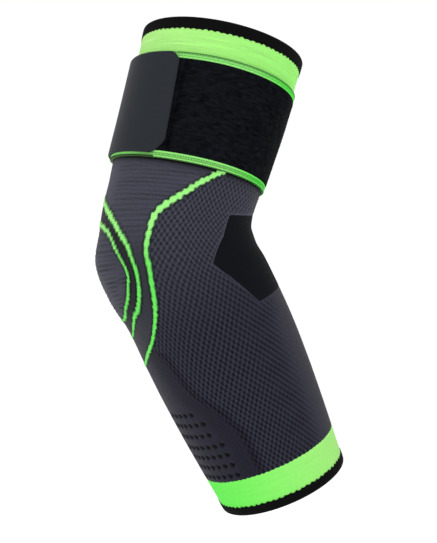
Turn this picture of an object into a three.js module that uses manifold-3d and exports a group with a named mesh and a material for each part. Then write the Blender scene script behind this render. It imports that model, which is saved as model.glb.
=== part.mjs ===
// A knitted elbow brace in the shape that it has on an arm: one knitted tube with a hem and a coloured
// band at each end and a soft panel in the crease, and an elastic strap round the upper arm, closed by
// a hook tab. Millimetres, +Z up. The origin is where the axes of the upper arm and the forearm meet.
// +X points to the crease side, -X to the point of the elbow, and -Y to the side where the strap closes.
import * as THREE from "three";
import { mergeVertices } from "three/addons/utils/BufferGeometryUtils.js";
import Module from "manifold-3d";

// The arm that the brace is shaped by
const UPPER_LEAN = 12; // degrees that the upper arm leans towards +X, going up
const FOREARM_LEAN = 24; // degrees that the forearm leans towards +X, going down
const UPPER_RECEDES = 8; // degrees that the upper arm leans towards +Y, going up
const FOREARM_RECEDES = 8; // degrees that the forearm leans towards +Y, going down
const BEND_RADIUS = 61; // of the centreline, in the bend's plane
const CARRY_RADIUS = 30; // how soft the sideways bend at the elbow is
const UPPER_LENGTH = 110.4; // along the centreline, from the middle of the bend to the upper rim
const FOREARM_LENGTH = 135.8; // from the middle of the bend to the lower rim
const LOWER_RIM_SKEW = 1; // degrees that the lower rim is off square, higher at the back
const SKEW_START = 0.2; // where the sections begin to skew, as a share of the forearm's length
const UPPER_RADIUS = 43; // outside, at the upper rim
const FOREARM_RADIUS = 41; // outside, at the thick of the forearm

// The knitted sleeve
const WALL = 1.8;
const HEM_WALL = 2.6;
const HEM_PROUD = 0.3; // the doubled hem stands out of the sleeve by this
const UPPER_HEM_HEIGHT = 6.9;
const LOWER_HEM_HEIGHT = 5.9;
const UPPER_BAND_HEIGHT = 13.5;
const LOWER_BAND_HEIGHT = 15;
const SEAM_GAP = 0.3; // between neighbouring solids, along the surface

// A hem from its band out to its rounded rim, as shares of its height and of its wall
const HEM_PROFILE = [
  { out: 0, thick: 1 },
  { out: 0.65, thick: 1 },
  { out: 1, thick: 0.35 },
];

// The soft panel in the crease
const PANEL_TOP = 25.6; // above the middle of the bend, along the centreline
const PANEL_LENGTH = 62.6;
const PANEL_WIDTH = 92; // round the sleeve, at its widest

// Its outline. Each row: how far down it lies at the panel's middle line and at its edge, as shares of
// its length, and how wide the panel is there, as a share of its width.
const PANEL_OUTLINE = [
  { middle: 0, edge: 0.1, wide: 0.7 },
  { middle: 0.33, edge: 0.33, wide: 0.8 },
  { middle: 0.555, edge: 0.555, wide: 1 },
  { middle: 1, edge: 0.99, wide: 0.67 },
];

// The strap, wound from its sewn start over the crease side and round the back onto itself
const STRAP_BELOW_RIM = 19; // from the upper rim down to its upper edge, along the centreline
const STRAP_WIDTH = 53.8; // with both edges
const STRAP_THICK = 1.4;
const EDGE_WIDTH = 3.4;
const EDGE_THICK = 1.6;
const STRAP_START = 235; // degrees round the sleeve
const STRAP_SWEEP = 395; // degrees from its start to its free end
const STRAP_RAMP = 30; // degrees in which the strap climbs onto its own start
const RAMP_AHEAD = 5; // degrees between the top of that climb and the start
const STRAP_CLEAR = 0.3; // between one layer and the next

// The hook tab on the strap's free end
const TAB_LENGTH = 75.5;
const TAB_WIDTH = 51.5;
const TAB_THICK = 1.2;
const TAB_SEAM_LENGTH = 12.5; // the length that lies on the strap's end, where it is sewn
const TAB_STEP_LENGTH = 9; // the length in which it comes down from there
const TAB_AHEAD_LENGTH = 0.8; // the length that it keeps its height for, past the strap's end
const TAB_TOP_GAP = 0.6; // below the strap's upper edge
const TAB_SLANT_LENGTH = 1.8; // by which the low end of its free edge reaches further
const TAB_TOP_CUT_HEIGHT = 4.2; // its upper corner, up and down the sleeve
const TAB_TOP_CUT_LENGTH = 4.6; // and along the strap
const TAB_LOW_CUT_HEIGHT = 7;
const TAB_LOW_CUT_LENGTH = 6.6;

// What is left of a corner's cut at even steps along the tab, as shares of its height
const TAB_CORNER = [1, 0.66, 0.42, 0.24, 0.1, 0];

// Outside of the sleeve, from the upper rim to the lower one. Each row: how far it lies from the middle
// of the bend, as a share of that limb's length, and its reach to the crease, to the elbow's point and
// to the sides, as shares of that limb's radius.
const UPPER_SECTIONS = [
  { at: 1.0, crease: 0.99, elbow: 1.015, side: 0.96 },
  { at: 0.82, crease: 0.95, elbow: 1.012, side: 0.955 },
  { at: 0.56, crease: 0.88, elbow: 1.018, side: 0.945 },
  { at: 0.34, crease: 0.812, elbow: 1.03, side: 0.925 },
  { at: 0.21, crease: 0.775, elbow: 1.027, side: 0.915 },
  { at: 0.07, crease: 0.83, elbow: 1.055, side: 0.915 },
];
const FOREARM_SECTIONS = [
  { at: 0.01, crease: 0.9, elbow: 1.175, side: 0.965 },
  { at: 0.09, crease: 0.935, elbow: 1.11, side: 0.97 },
  { at: 0.175, crease: 0.955, elbow: 1.028, side: 0.98 },
  { at: 0.35, crease: 0.973, elbow: 1.012, side: 1.0 },
  { at: 0.49, crease: 0.963, elbow: 0.997, side: 0.985 },
  { at: 0.69, crease: 0.92, elbow: 0.954, side: 0.935 },
  { at: 1.0, crease: 0.828, elbow: 0.86, side: 0.86 },
];

// How finely the solids are faceted
const SLEEVE_COLUMNS = 48;
const ROW_HEIGHT = 8;
const STRAP_STEP = 7.5; // degrees
const TAB_ROWS = 12;
const TAB_COLUMNS = 12;
const CORNER_COLUMNS = 5; // round the tab's cut corners
const PANEL_COLUMNS = 12;
const PANEL_ROWS = 3; // between one row of its outline and the next

const radians = THREE.MathUtils.degToRad;
const wasm = await Module();
wasm.setup();

const SECTIONS = [
  ...UPPER_SECTIONS.map((row) => sized(row, UPPER_LENGTH, UPPER_RADIUS)),
  ...FOREARM_SECTIONS.map((row) => sized(row, -FOREARM_LENGTH, FOREARM_RADIUS)),
];

function sized(row, length, radius) {
  return {
    at: row.at * length,
    crease: row.crease * radius,
    elbow: row.elbow * radius,
    side: row.side * radius,
  };
}

// A column of the section table at any station, on a smooth curve through its rows.
function reach(column, station) {
  const last = SECTIONS.length - 1;
  const below = SECTIONS.findIndex((row) => row.at <= station);
  const i = below < 0 ? last - 1 : Math.max(below - 1, 0);
  const slope = (k) => {
    const a = SECTIONS[Math.max(k - 1, 0)];
    const b = SECTIONS[Math.min(k + 1, last)];
    return (b[column] - a[column]) / (b.at - a.at);
  };
  const [a, b] = [SECTIONS[i], SECTIONS[i + 1]];
  const span = b.at - a.at;
  const t = THREE.MathUtils.clamp((station - a.at) / span, 0, 1);
  return (
    a[column] * (1 + 2 * t) * (1 - t) ** 2 +
    b[column] * t * t * (3 - 2 * t) +
    slope(i) * span * t * (1 - t) ** 2 -
    slope(i + 1) * span * t * t * (1 - t)
  );
}

// The centreline is a straight run, an arc and a straight run; both limbs lean away towards +Y.
const BEND = radians(UPPER_LEAN + FOREARM_LEAN);
const HALF_ARC = (BEND_RADIUS * BEND) / 2;
const TANGENT = BEND_RADIUS * Math.tan(BEND / 2);
const UP = new THREE.Vector2(Math.sin(radians(UPPER_LEAN)), Math.cos(radians(UPPER_LEAN)));
const DOWN = new THREE.Vector2(Math.sin(radians(FOREARM_LEAN)), -Math.cos(radians(FOREARM_LEAN)));

const UPPER_AWAY = Math.tan(radians(UPPER_RECEDES));
const FOREARM_AWAY = Math.tan(radians(FOREARM_RECEDES));

function centre(station) {
  const away =
    ((UPPER_AWAY + FOREARM_AWAY) / 2) * (Math.hypot(station, CARRY_RADIUS) - CARRY_RADIUS) +
    ((UPPER_AWAY - FOREARM_AWAY) / 2) * station;
  const flat = new THREE.Vector2();
  if (Math.abs(station) >= HALF_ARC) {
    flat.copy(station > 0 ? UP : DOWN).multiplyScalar(TANGENT + Math.abs(station) - HALF_ARC);
  } else {
    const lean = radians(UPPER_LEAN) - (HALF_ARC - station) / BEND_RADIUS;
    flat.copy(UP).multiplyScalar(TANGENT);
    flat.x += BEND_RADIUS * (Math.cos(radians(UPPER_LEAN)) - Math.cos(lean));
    flat.y -= BEND_RADIUS * (Math.sin(radians(UPPER_LEAN)) - Math.sin(lean));
  }
  return new THREE.Vector3(flat.x, away, flat.y);
}

// The point at an angle round the sleeve, lift mm outside its outer face. Angle 0 is the middle of the
// crease, 90 the side where the strap closes and 180 the point of the elbow.
function place(station, angle, lift) {
  const nearby = 0.5;
  const along = centre(station + nearby).sub(centre(station - nearby)).normalize();
  const toCrease = new THREE.Vector3(along.z, 0, -along.x).normalize();
  const toSide = new THREE.Vector3().crossVectors(toCrease, along).normalize();
  const column = Math.cos(radians(angle)) > 0 ? "crease" : "elbow";
  const ahead = (reach(column, station) + lift) * Math.cos(radians(angle));
  const aside = (reach("side", station) + lift) * Math.sin(radians(angle));
  const skewed = THREE.MathUtils.smoothstep(-station / FOREARM_LENGTH, SKEW_START, 1);
  return centre(station)
    .addScaledVector(toCrease, ahead)
    .addScaledVector(toSide, aside)
    .addScaledVector(along, -Math.tan(radians(LOWER_RIM_SKEW * skewed)) * ahead);
}

// A closed wall over a grid of rows and columns. at(row, column, skin) is a point of its inner (0) or
// outer (1) face. A wall that goes all the way round has no first and last column.
function wallGeometry(rows, columns, goesRound, at) {
  const positions = [];
  const faces = [];
  const across = goesRound ? columns : columns + 1;
  for (const skin of [0, 1]) {
    for (let i = 0; i <= rows; i++) {
      for (let j = 0; j < across; j++) positions.push(...at(i, j, skin).toArray());
    }
  }
  const index = (i, j, skin) => (skin * (rows + 1) + i) * across + (j % across);
  const quad = (a, b, c, d) => faces.push(a, c, b, a, d, c);
  for (let j = 0; j < columns; j++) {
    for (let i = 0; i < rows; i++) {
      quad(index(i, j, 1), index(i + 1, j, 1), index(i + 1, j + 1, 1), index(i, j + 1, 1));
      quad(index(i, j, 0), index(i, j + 1, 0), index(i + 1, j + 1, 0), index(i + 1, j, 0));
    }
    quad(index(0, j, 0), index(0, j, 1), index(0, j + 1, 1), index(0, j + 1, 0));
    quad(index(rows, j, 0), index(rows, j + 1, 0), index(rows, j + 1, 1), index(rows, j, 1));
  }
  for (let i = 0; i < rows && !goesRound; i++) {
    quad(index(i, 0, 0), index(i + 1, 0, 0), index(i + 1, 0, 1), index(i, 0, 1));
    quad(index(i, columns, 0), index(i, columns, 1), index(i + 1, columns, 1), index(i + 1, columns, 0));
  }
  const geometry = new THREE.BufferGeometry();
  geometry.setAttribute("position", new THREE.Float32BufferAttribute(positions, 3));
  geometry.setIndex(faces);
  return geometry;
}

const mix = THREE.MathUtils.lerp;

// A ring of the sleeve's wall between two stations, the upper one first
function ringGeometry(top, bottom) {
  const rows = Math.max(1, Math.round((top - bottom) / ROW_HEIGHT));
  return wallGeometry(rows, SLEEVE_COLUMNS, true, (i, j, skin) =>
    place(mix(top, bottom, i / rows), (360 * j) / SLEEVE_COLUMNS, skin ? 0 : -WALL),
  );
}

// A hem, with its rounded rim at its top or at its bottom
function hemGeometry(top, bottom, rimAtTop) {
  const rows = rimAtTop ? [...HEM_PROFILE].reverse() : HEM_PROFILE;
  return wallGeometry(rows.length - 1, SLEEVE_COLUMNS, true, (i, j, skin) => {
    const { out, thick } = rows[i];
    const station = rimAtTop ? mix(bottom, top, out) : mix(top, bottom, out);
    const middle = HEM_PROUD - HEM_WALL / 2;
    return place(station, (360 * j) / SLEEVE_COLUMNS, middle + (skin - 0.5) * thick * HEM_WALL);
  });
}

function toSolid(geometry) {
  const merged = mergeVertices(geometry, 1e-3);
  return new wasm.Manifold(
    new wasm.Mesh({
      numProp: 3,
      vertProperties: merged.attributes.position.array,
      triVerts: new Uint32Array(merged.index.array),
    }),
  );
}

function toGeometry(solid) {
  const mesh = solid.getMesh();
  const geometry = new THREE.BufferGeometry();
  geometry.setAttribute("position", new THREE.BufferAttribute(mesh.vertProperties, 3));
  geometry.setIndex(new THREE.BufferAttribute(mesh.triVerts, 1));
  return geometry;
}

// The stations where one part of the sleeve ends and the next begins
const UPPER_RIM = UPPER_LENGTH;
const UPPER_HEM_EDGE = UPPER_RIM - UPPER_HEM_HEIGHT;
const UPPER_BAND_EDGE = UPPER_HEM_EDGE - UPPER_BAND_HEIGHT;
const LOWER_RIM = -FOREARM_LENGTH;
const LOWER_HEM_EDGE = LOWER_RIM + LOWER_HEM_HEIGHT;
const LOWER_BAND_EDGE = LOWER_HEM_EDGE + LOWER_BAND_HEIGHT;

// The tube between the two bands, with no panel cut out of it yet
function bodyTube() {
  return toSolid(ringGeometry(UPPER_BAND_EDGE - SEAM_GAP, LOWER_BAND_EDGE + SEAM_GAP));
}

// A block through the wall in the panel's outline, grown by a margin all round
function panelBlock(margin) {
  const through = 2 * WALL;
  const degrees = 360 / (Math.PI * (reach("crease", 0) + reach("side", 0)));
  const last = PANEL_OUTLINE.length - 1;
  const rowsOf = PANEL_OUTLINE.map((row, k) => {
    const grown = k === 0 ? margin : k === last ? -margin : 0;
    return {
      middle: PANEL_TOP - row.middle * PANEL_LENGTH + grown,
      edge: PANEL_TOP - row.edge * PANEL_LENGTH + grown,
      half: (row.wide * PANEL_WIDTH) / 2 + margin,
    };
  });
  const geometry = wallGeometry(last * PANEL_ROWS, PANEL_COLUMNS, false, (i, j, skin) => {
    const k = Math.min(Math.floor(i / PANEL_ROWS), last - 1);
    const t = i / PANEL_ROWS - k;
    const at = (column) => mix(rowsOf[k][column], rowsOf[k + 1][column], t);
    const across = (2 * j) / PANEL_COLUMNS - 1;
    const station = mix(at("middle"), at("edge"), Math.abs(across));
    return place(station, across * at("half") * degrees, skin ? through : -WALL - through);
  });
  return toSolid(geometry);
}

// Strap angles run from its start against the angles round the sleeve.
const LAYER = EDGE_THICK + STRAP_CLEAR;
const STRAP_TOP = UPPER_LENGTH - STRAP_BELOW_RIM;
const STRAP_BOTTOM = STRAP_TOP - STRAP_WIDTH;

function strapLift(sweep) {
  const top = 360 - RAMP_AHEAD;
  const climbed = THREE.MathUtils.smoothstep(sweep, top - STRAP_RAMP, top);
  return STRAP_CLEAR + LAYER * climbed;
}

function strapGeometry(top, bottom, thick) {
  const columns = Math.round(STRAP_SWEEP / STRAP_STEP);
  const rows = Math.max(1, Math.round((top - bottom) / (2 * ROW_HEIGHT)));
  return wallGeometry(rows, columns, false, (i, j, skin) => {
    const sweep = STRAP_SWEEP * (1 - j / columns);
    const lift = strapLift(sweep) + (skin ? thick : 0);
    return place(mix(top, bottom, i / rows), STRAP_START - sweep, lift);
  });
}

// The tab, from its sewn root to its free edge, whose corners are cut
function tabGeometry() {
  const middle = STRAP_BOTTOM + STRAP_WIDTH / 2;
  const degrees = 360 / (Math.PI * (reach("elbow", middle) + reach("side", middle)));
  const strapEnd = STRAP_START - STRAP_SWEEP + 360;
  const root = strapEnd + TAB_SEAM_LENGTH * degrees;
  const free = root - TAB_LENGTH * degrees;
  const high = STRAP_TOP - TAB_TOP_GAP;
  // Distances from the free edge: the corners, then even steps to the root
  const plain = Math.max(TAB_TOP_CUT_LENGTH, TAB_LOW_CUT_LENGTH);
  const distances = [];
  for (let k = 0; k < CORNER_COLUMNS; k++) distances.push((plain * k) / CORNER_COLUMNS);
  for (let k = 0; k <= TAB_COLUMNS; k++) distances.push(mix(plain, TAB_LENGTH, k / TAB_COLUMNS));
  const cut = (distance, height, length) => {
    const last = TAB_CORNER.length - 1;
    const t = Math.min(1, distance / length) * last;
    const k = Math.min(Math.floor(t), last - 1);
    return height * mix(TAB_CORNER[k], TAB_CORNER[k + 1], t - k);
  };
  const columns = distances.length - 1;
  return wallGeometry(TAB_ROWS, columns, false, (i, j, skin) => {
    const distance = distances[j];
    const further = TAB_SLANT_LENGTH * (i / TAB_ROWS) * (1 - distance / TAB_LENGTH);
    const angle = free + (distance - further) * degrees;
    const upper = high - cut(distance, TAB_TOP_CUT_HEIGHT, TAB_TOP_CUT_LENGTH);
    const lower = high - TAB_WIDTH + cut(distance, TAB_LOW_CUT_HEIGHT, TAB_LOW_CUT_LENGTH);
    const top = strapEnd - TAB_AHEAD_LENGTH * degrees;
    const seated = THREE.MathUtils.smoothstep(angle, top - TAB_STEP_LENGTH * degrees, top);
    const lift = STRAP_CLEAR + LAYER * (1 + seated) + (skin ? TAB_THICK : 0);
    return place(mix(upper, lower, i / TAB_ROWS), angle, lift);
  });
}

const FINISH = {
  knitGrey: { color: 0x3a3941, roughness: 0.9, metalness: 0 },
  knitGreen: { color: 0x63e04a, roughness: 0.8, metalness: 0 },
  knitBlack: { color: 0x0f1012, roughness: 0.9, metalness: 0 },
  panelBlack: { color: 0x17181c, roughness: 0.85, metalness: 0 },
  edgeGreen: { color: 0x50e650, roughness: 0.8, metalness: 0 },
  strapBlack: { color: 0x0c0d0f, roughness: 0.95, metalness: 0 },
  tabGrey: { color: 0x2c2e34, roughness: 0.6, metalness: 0 },
};

function part(name, geometry, finish) {
  const mesh = new THREE.Mesh(geometry, new THREE.MeshStandardMaterial(finish));
  mesh.name = name;
  return mesh;
}

const tube = bodyTube();
const sleeve = new THREE.Group();
sleeve.add(
  part("upper_hem", hemGeometry(UPPER_RIM, UPPER_HEM_EDGE, true), FINISH.knitBlack),
  part("upper_band", ringGeometry(UPPER_HEM_EDGE - SEAM_GAP, UPPER_BAND_EDGE), FINISH.knitGreen),
  part("sleeve_body", toGeometry(tube.subtract(panelBlock(SEAM_GAP))), FINISH.knitGrey),
  part("crease_panel", toGeometry(tube.intersect(panelBlock(0))), FINISH.panelBlack),
  part("lower_band", ringGeometry(LOWER_BAND_EDGE, LOWER_HEM_EDGE + SEAM_GAP), FINISH.knitGreen),
  part("lower_hem", hemGeometry(LOWER_HEM_EDGE, LOWER_RIM, false), FINISH.knitBlack),
);

const strap = new THREE.Group();
const upperBorder = STRAP_TOP - EDGE_WIDTH;
const lowerBorder = STRAP_BOTTOM + EDGE_WIDTH;
const webbing = strapGeometry(upperBorder - SEAM_GAP, lowerBorder + SEAM_GAP, STRAP_THICK);
strap.add(
  part("strap", webbing, FINISH.strapBlack),
  part("strap_upper_edge", strapGeometry(STRAP_TOP, upperBorder, EDGE_THICK), FINISH.edgeGreen),
  part("strap_lower_edge", strapGeometry(lowerBorder, STRAP_BOTTOM, EDGE_THICK), FINISH.edgeGreen),
  part("hook_tab", tabGeometry(), FINISH.tabGrey),
);

const brace = new THREE.Group();
brace.add(sleeve, strap);
export default brace;
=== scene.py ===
"""The looks of a knitted elbow brace with a wrap-around strap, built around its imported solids.

The sleeve is one closed wall of small cells, so that its ribs, eyelets, vents and green threads are
real relief. All sizes are in millimetres and degrees until a mesh is made.
"""

import math

import bpy
import numpy as np
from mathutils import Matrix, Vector


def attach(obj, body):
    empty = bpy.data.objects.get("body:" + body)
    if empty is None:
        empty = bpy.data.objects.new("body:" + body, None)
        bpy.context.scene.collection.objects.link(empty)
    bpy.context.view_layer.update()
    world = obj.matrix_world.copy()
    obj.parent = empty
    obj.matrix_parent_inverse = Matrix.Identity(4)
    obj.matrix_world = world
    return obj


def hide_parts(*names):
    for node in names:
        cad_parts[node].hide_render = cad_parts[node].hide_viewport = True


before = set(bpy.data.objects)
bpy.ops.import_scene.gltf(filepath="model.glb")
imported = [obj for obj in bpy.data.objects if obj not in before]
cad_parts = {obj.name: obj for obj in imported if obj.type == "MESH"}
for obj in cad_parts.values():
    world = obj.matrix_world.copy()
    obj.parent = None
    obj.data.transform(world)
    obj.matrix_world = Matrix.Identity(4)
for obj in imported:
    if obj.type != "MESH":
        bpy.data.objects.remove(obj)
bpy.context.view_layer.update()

# The arm that the brace is shaped by. Both limbs lean from upright towards the crease's side, and recede
# from the side where the strap closes, by so many degrees.
UPPER_LEAN = 12
FOREARM_LEAN = 24
UPPER_RECEDES = 8
FOREARM_RECEDES = 8
BEND_RADIUS = 61
CARRY_RADIUS = 30
UPPER_LENGTH = 110.4
FOREARM_LENGTH = 135.8
LOWER_RIM_SKEW = 1
SKEW_START = 0.2
UPPER_RADIUS = 43
FOREARM_RADIUS = 41

# Each row: how far it lies from the middle of the bend, as a share of that limb's length, and its reach
# to the crease, to the elbow's point and to the sides, as shares of that limb's radius.
UPPER_SECTIONS = [
    (1.0, 0.99, 1.015, 0.96),
    (0.82, 0.95, 1.012, 0.955),
    (0.56, 0.88, 1.018, 0.945),
    (0.34, 0.812, 1.03, 0.925),
    (0.21, 0.775, 1.027, 0.915),
    (0.07, 0.83, 1.055, 0.915),
]
FOREARM_SECTIONS = [
    (0.01, 0.9, 1.175, 0.965),
    (0.09, 0.935, 1.11, 0.97),
    (0.175, 0.955, 1.028, 0.98),
    (0.35, 0.973, 1.012, 1.0),
    (0.49, 0.963, 0.997, 0.985),
    (0.69, 0.92, 0.954, 0.935),
    (1.0, 0.828, 0.86, 0.86),
]
CREASE, ELBOW, SIDE = 1, 2, 3

# The knitted sleeve, from its upper rim to its lower one
WALL = 1.8
HEM_WALL = 2.6
HEM_PROUD = 0.3
UPPER_HEM_EDGE = UPPER_LENGTH - 6.9
UPPER_BAND_EDGE = UPPER_HEM_EDGE - 13.5
LOWER_HEM_EDGE = -FOREARM_LENGTH + 5.9
LOWER_BAND_EDGE = LOWER_HEM_EDGE + 15

# The soft panel in the crease. Each row: how far down it lies at the panel's middle line and at its
# edge, and how wide the panel is there, as shares.
PANEL_TOP = 25.6
PANEL_LENGTH = 62.6
PANEL_WIDTH = 92
PANEL_OUTLINE = [(0, 0.1, 0.7), (0.33, 0.33, 0.8), (0.555, 0.555, 1), (1, 0.99, 0.67)]

# The strap, wound from its sewn start over the crease side and round the back onto itself
STRAP_TOP = UPPER_LENGTH - 19
STRAP_WIDTH = 53.8
STRAP_BOTTOM = STRAP_TOP - STRAP_WIDTH
STRAP_THICK = 1.4
# The green edges lie above and below the webbing
EDGE_WIDTH = 3.4
EDGE_THICK = 1.6
STRAP_START = 235
STRAP_SWEEP = 395
STRAP_RAMP = 30
RAMP_AHEAD = 5
STRAP_CLEAR = 0.3
STRAP_MM_PER_DEGREE = 0.74
BINDING_PITCH = 1.3
# How far from its start the tab covers the strap, in degrees
TAB_COVERS = 118
LAYER = EDGE_THICK + STRAP_CLEAR

# The hook tab on the strap's free end. Each cut has a height and a length, and TAB_CORNER is how much of
# the height is gone at even steps along it.
TAB_LENGTH = 75.5
TAB_WIDTH = 51.5
TAB_THICK = 1.2
TAB_SLANT = 1.8
TAB_SEAM = 12.5
TAB_STEP = 9
TAB_AHEAD = 0.8
TAB_TOP_GAP = 0.6
TAB_TOP_CUT = (4.2, 4.6)
TAB_LOW_CUT = (7, 6.6)
TAB_CORNER = [1, 0.66, 0.42, 0.24, 0.1, 0]
# How far from its sewn end its two rows of stitches lie, and how deep
TAB_STITCHES = (9.5, 3)
STITCH_DEPTH = 0.16
# How much painted highlight lightens the tab towards its sewn end
TAB_HIGHLIGHT = 0.6

# The green lines that are knitted into the sleeve: points as (station, angle) on the side where the
# strap closes, from the crease round to the elbow's point. The other side mirrors them.
LONG_LINE = [
    (47, 46), (37.5, 67), (28.5, 85.5), (18.4, 101.5), (14, 108.3), (8.5, 111.5), (1, 113.2),
    (-5, 112.8), (-11, 115), (-15.5, 117.5), (-21.5, 123.5), (-27.5, 130), (-34.5, 140), (-42.5, 158.5),
    (-46, 171), (-46.8, 180),
]
OUTER_OVAL = [
    (17.4, 180), (17, 171), (15.2, 161), (11.3, 146), (6.4, 134.5), (2.2, 126.5), (-4, 122.5),
    (-9, 123.5), (-13.5, 127.5), (-17, 133.5), (-20.5, 144.5), (-27.5, 159.5), (-30, 170), (-30.5, 180),
]
INNER_OVAL = [
    (10.3, 180), (10, 170), (8.9, 158.5), (6.6, 147), (2, 137), (-2.8, 130.5), (-6.5, 129.5),
    (-9.5, 132.5), (-13.5, 138.5), (-17, 149), (-19.5, 159), (-21, 180),
]
# With how wide each line is and how far apart its beads are
GREEN_LINES = [(LONG_LINE, 1.95, 3.3), (OUTER_OVAL, 1.6, 2.4), (INNER_OVAL, 1.2, 2.2)]
# How far each course of a line keeps to its first row, as a share
COURSE_STEP = 0.3
# Stands for a line's angle at the stations that it doesn't reach
PAST_ELBOW = 181

# Behind this edge the knit of the forearm is plain. Rows of small vents lie in it, each from an angle
# round to the elbow's point.
PLAIN_EDGE = [
    (-38, 150), (-41.5, 135.5), (-56, 129), (-65.5, 124), (-75, 113.5), (-83.5, 107.5), (-94, 103),
    (-109.5, 102.5), (-116, 102.5),
]
VENT_ROWS = [
    (-75.3, 130.5), (-81.3, 121.5), (-88.2, 122.5), (-94.3, 117), (-100.3, 116), (-106.3, 115),
    (-112.3, 116),
]
# How deep each corner of one vent lies, from the top row down, as a share
VENT_CHART = np.array([
    [0.0, 0.0, 0.3, 0.9, 0.6, 0.2],
    [0.6, 1.0, 1.0, 1.0, 1.0, 0.3],
    [0.4, 1.0, 1.0, 1.0, 1.0, 0.3],
    [0.0, 0.5, 1.0, 1.0, 0.3, 0.0],
])

# The grid of the sleeve's knit. Its columns lie closer together at the elbow's point than at the sides,
# and further apart in the crease, by a share. Its rows are fine up to where the strap hides them.
COLUMNS = 368
COLUMN_SPREAD = 0.22
KNIT_TOP = 41.7
FINE_ROWS = 238
COVERED_ROWS = 6
LINING_ROWS = 12
MM_PER_DEGREE = 0.69
BAND_GAP = 0.05
# How many columns lie from one eyelet, and from one vent, to the next
EYELET_COLUMNS = 4
VENT_COLUMNS = 8
# The pitch of the eyelets along the sleeve at some stations. Two rows lie in each pitch, the second one
# half an eyelet further round than the first.
EYELET_PITCHES = [(-120, 4.05), (-65, 4.2), (-35, 4.15), (-15, 3.75), (8, 3.45), (60, 3.5)]
RIB_PITCH = 1.95
# How much the ribs above and below the elbow's point follow the bend, as shares
RIB_TILT = (0.22, 0.8)
# How strong the mesh is in the crease of the upper arm, and the ribs in the channel and the inner oval
CREASE_MESH = 0.7
CHANNEL_RIBS = 0.75
OVAL_RIBS = 1.2

# The relief of the knit, in millimetres
EYELET_DEPTH = 0.4
YARN_BULGE = 0.25
RIB_DEPTH = 0.2
VENT_DEPTH = 0.7
THREAD_HEIGHT = 0.22
KNIT_WOBBLE = 0.02
PANEL_RECESS = 1.0
PANEL_THICK = 1.0
PANEL_PROUD = 0.14
PANEL_TUCK = 0.35
PANEL_MARGIN = 1.0

# How much painted shade darkens the hollows and the knit beside the green lines, and how much painted
# highlight lightens the raised yarn and the bare knit at the elbow's point, as shares. The painted shade
# in the eyelets of the forearm is deeper by HOLE_GAIN. PIPING_GLOW is how much lighter the piping round
# the panel is, and STRAP_SHADOW and SHADOW_REACH give the painted shadow under the strap's lower edge.
HOLE_SHADE = 0.66
HOLE_GAIN = 0.14
RIB_SHADE = 0.55
FAINT_SHADE = 0.4
VENT_SHADE = 0.95
BESIDE_SHADE = 0.8
YARN_HIGHLIGHT = 1.3
PIPING_GLOW = 0.22
BARE_HIGHLIGHT = 0.3
STRAP_SHADOW = 1.35
SHADOW_REACH = 1.7

# The bands and the hems: their ribs, the painted highlight along the bands' borders, and their teeth by
# number and height
BAND_RIB = 1.05
BAND_STREAKS = 24
BAND_BORDER_HIGHLIGHT = 0.06
COLUMNS_PER_TOOTH = 8
UPPER_TEETH = (86, 0.95)
LOWER_TEETH = (70, 1.05)
BORDER_TEETH = 88
BORDER_TOOTH = 0.6
HEM_BULGE = 0.15

# How steeply the arms of the fine stitches rise, and how much of its colour the strap's inner face keeps
# under painted shade
STITCH_SLANT = 1.1
SHADED_INSIDE = 0.06

# The camera, in millimetres
LENS = 75.77
SENSOR = 36
CAMERA_PLACE = (20, -600, -11.1)

# Colours, linear
RIB_GREY = (0.056, 0.056, 0.079)
MESH_GREY = (0.0545, 0.0565, 0.0785)
FOREARM_GREY = (0.031, 0.0305, 0.0505)
PLAIN_GREY = (0.015, 0.0145, 0.0255)
CREASE_GREY = (0.023, 0.022, 0.033)
CHANNEL_GREY = (0.03, 0.03, 0.041)
RING_GREY = (0.018, 0.018, 0.0246)
# The green lines above and below the point of the elbow
LINE_GREENS = ((0.33, 0.88, 0.22), (0.13, 0.75, 0.1))
# The bands at the point of the elbow and at the crease. The yellower colour of each band is a painted
# highlight on its side where the light falls.
UPPER_BAND_GREENS = ((0.44, 0.88, 0.24), (0.32, 0.9, 0.17))
LOWER_BAND_GREENS = ((0.1, 0.8, 0.065), (0.4, 0.89, 0.22))
# The strap's edges at the crease and at the tab
EDGE_GREENS = ((0.1, 0.85, 0.07), (0.3, 0.85, 0.2))
HEM_BLACK = (0.004, 0.004, 0.0045)
PANEL_BLACK = (0.0054, 0.0059, 0.0079)
STRAP_BLACK = (0.0045, 0.0055, 0.0075)
TAB_GREY = (0.0165, 0.0195, 0.0245)


def section_table():
    """Both limbs' sections in millimetres, as (station, crease, elbow, side) from the lower rim up."""
    upper = np.array(UPPER_SECTIONS) * [UPPER_LENGTH, *[UPPER_RADIUS] * 3]
    forearm = np.array(FOREARM_SECTIONS) * [-FOREARM_LENGTH, *[FOREARM_RADIUS] * 3]
    return np.concatenate([upper, forearm])[::-1]


SECTIONS = section_table()


def reach(column, station):
    """A column of the section table at any station, on a smooth curve through its rows."""
    at, value = SECTIONS[:, 0], SECTIONS[:, column]
    ends = np.concatenate([[0], np.arange(len(at)), [len(at) - 1]])
    slope = (value[ends[2:]] - value[ends[:-2]]) / (at[ends[2:]] - at[ends[:-2]])
    i = np.clip(np.searchsorted(at, station, side="right") - 1, 0, len(at) - 2)
    span = at[i + 1] - at[i]
    t = np.clip((station - at[i]) / span, 0, 1)
    return (
        value[i] * (1 + 2 * t) * (1 - t) ** 2
        + value[i + 1] * t * t * (3 - 2 * t)
        + slope[i] * span * t * (1 - t) ** 2
        - slope[i + 1] * span * t * t * (1 - t)
    )


BEND = math.radians(UPPER_LEAN + FOREARM_LEAN)
HALF_ARC = BEND_RADIUS * BEND / 2
TANGENT = BEND_RADIUS * math.tan(BEND / 2)


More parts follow.
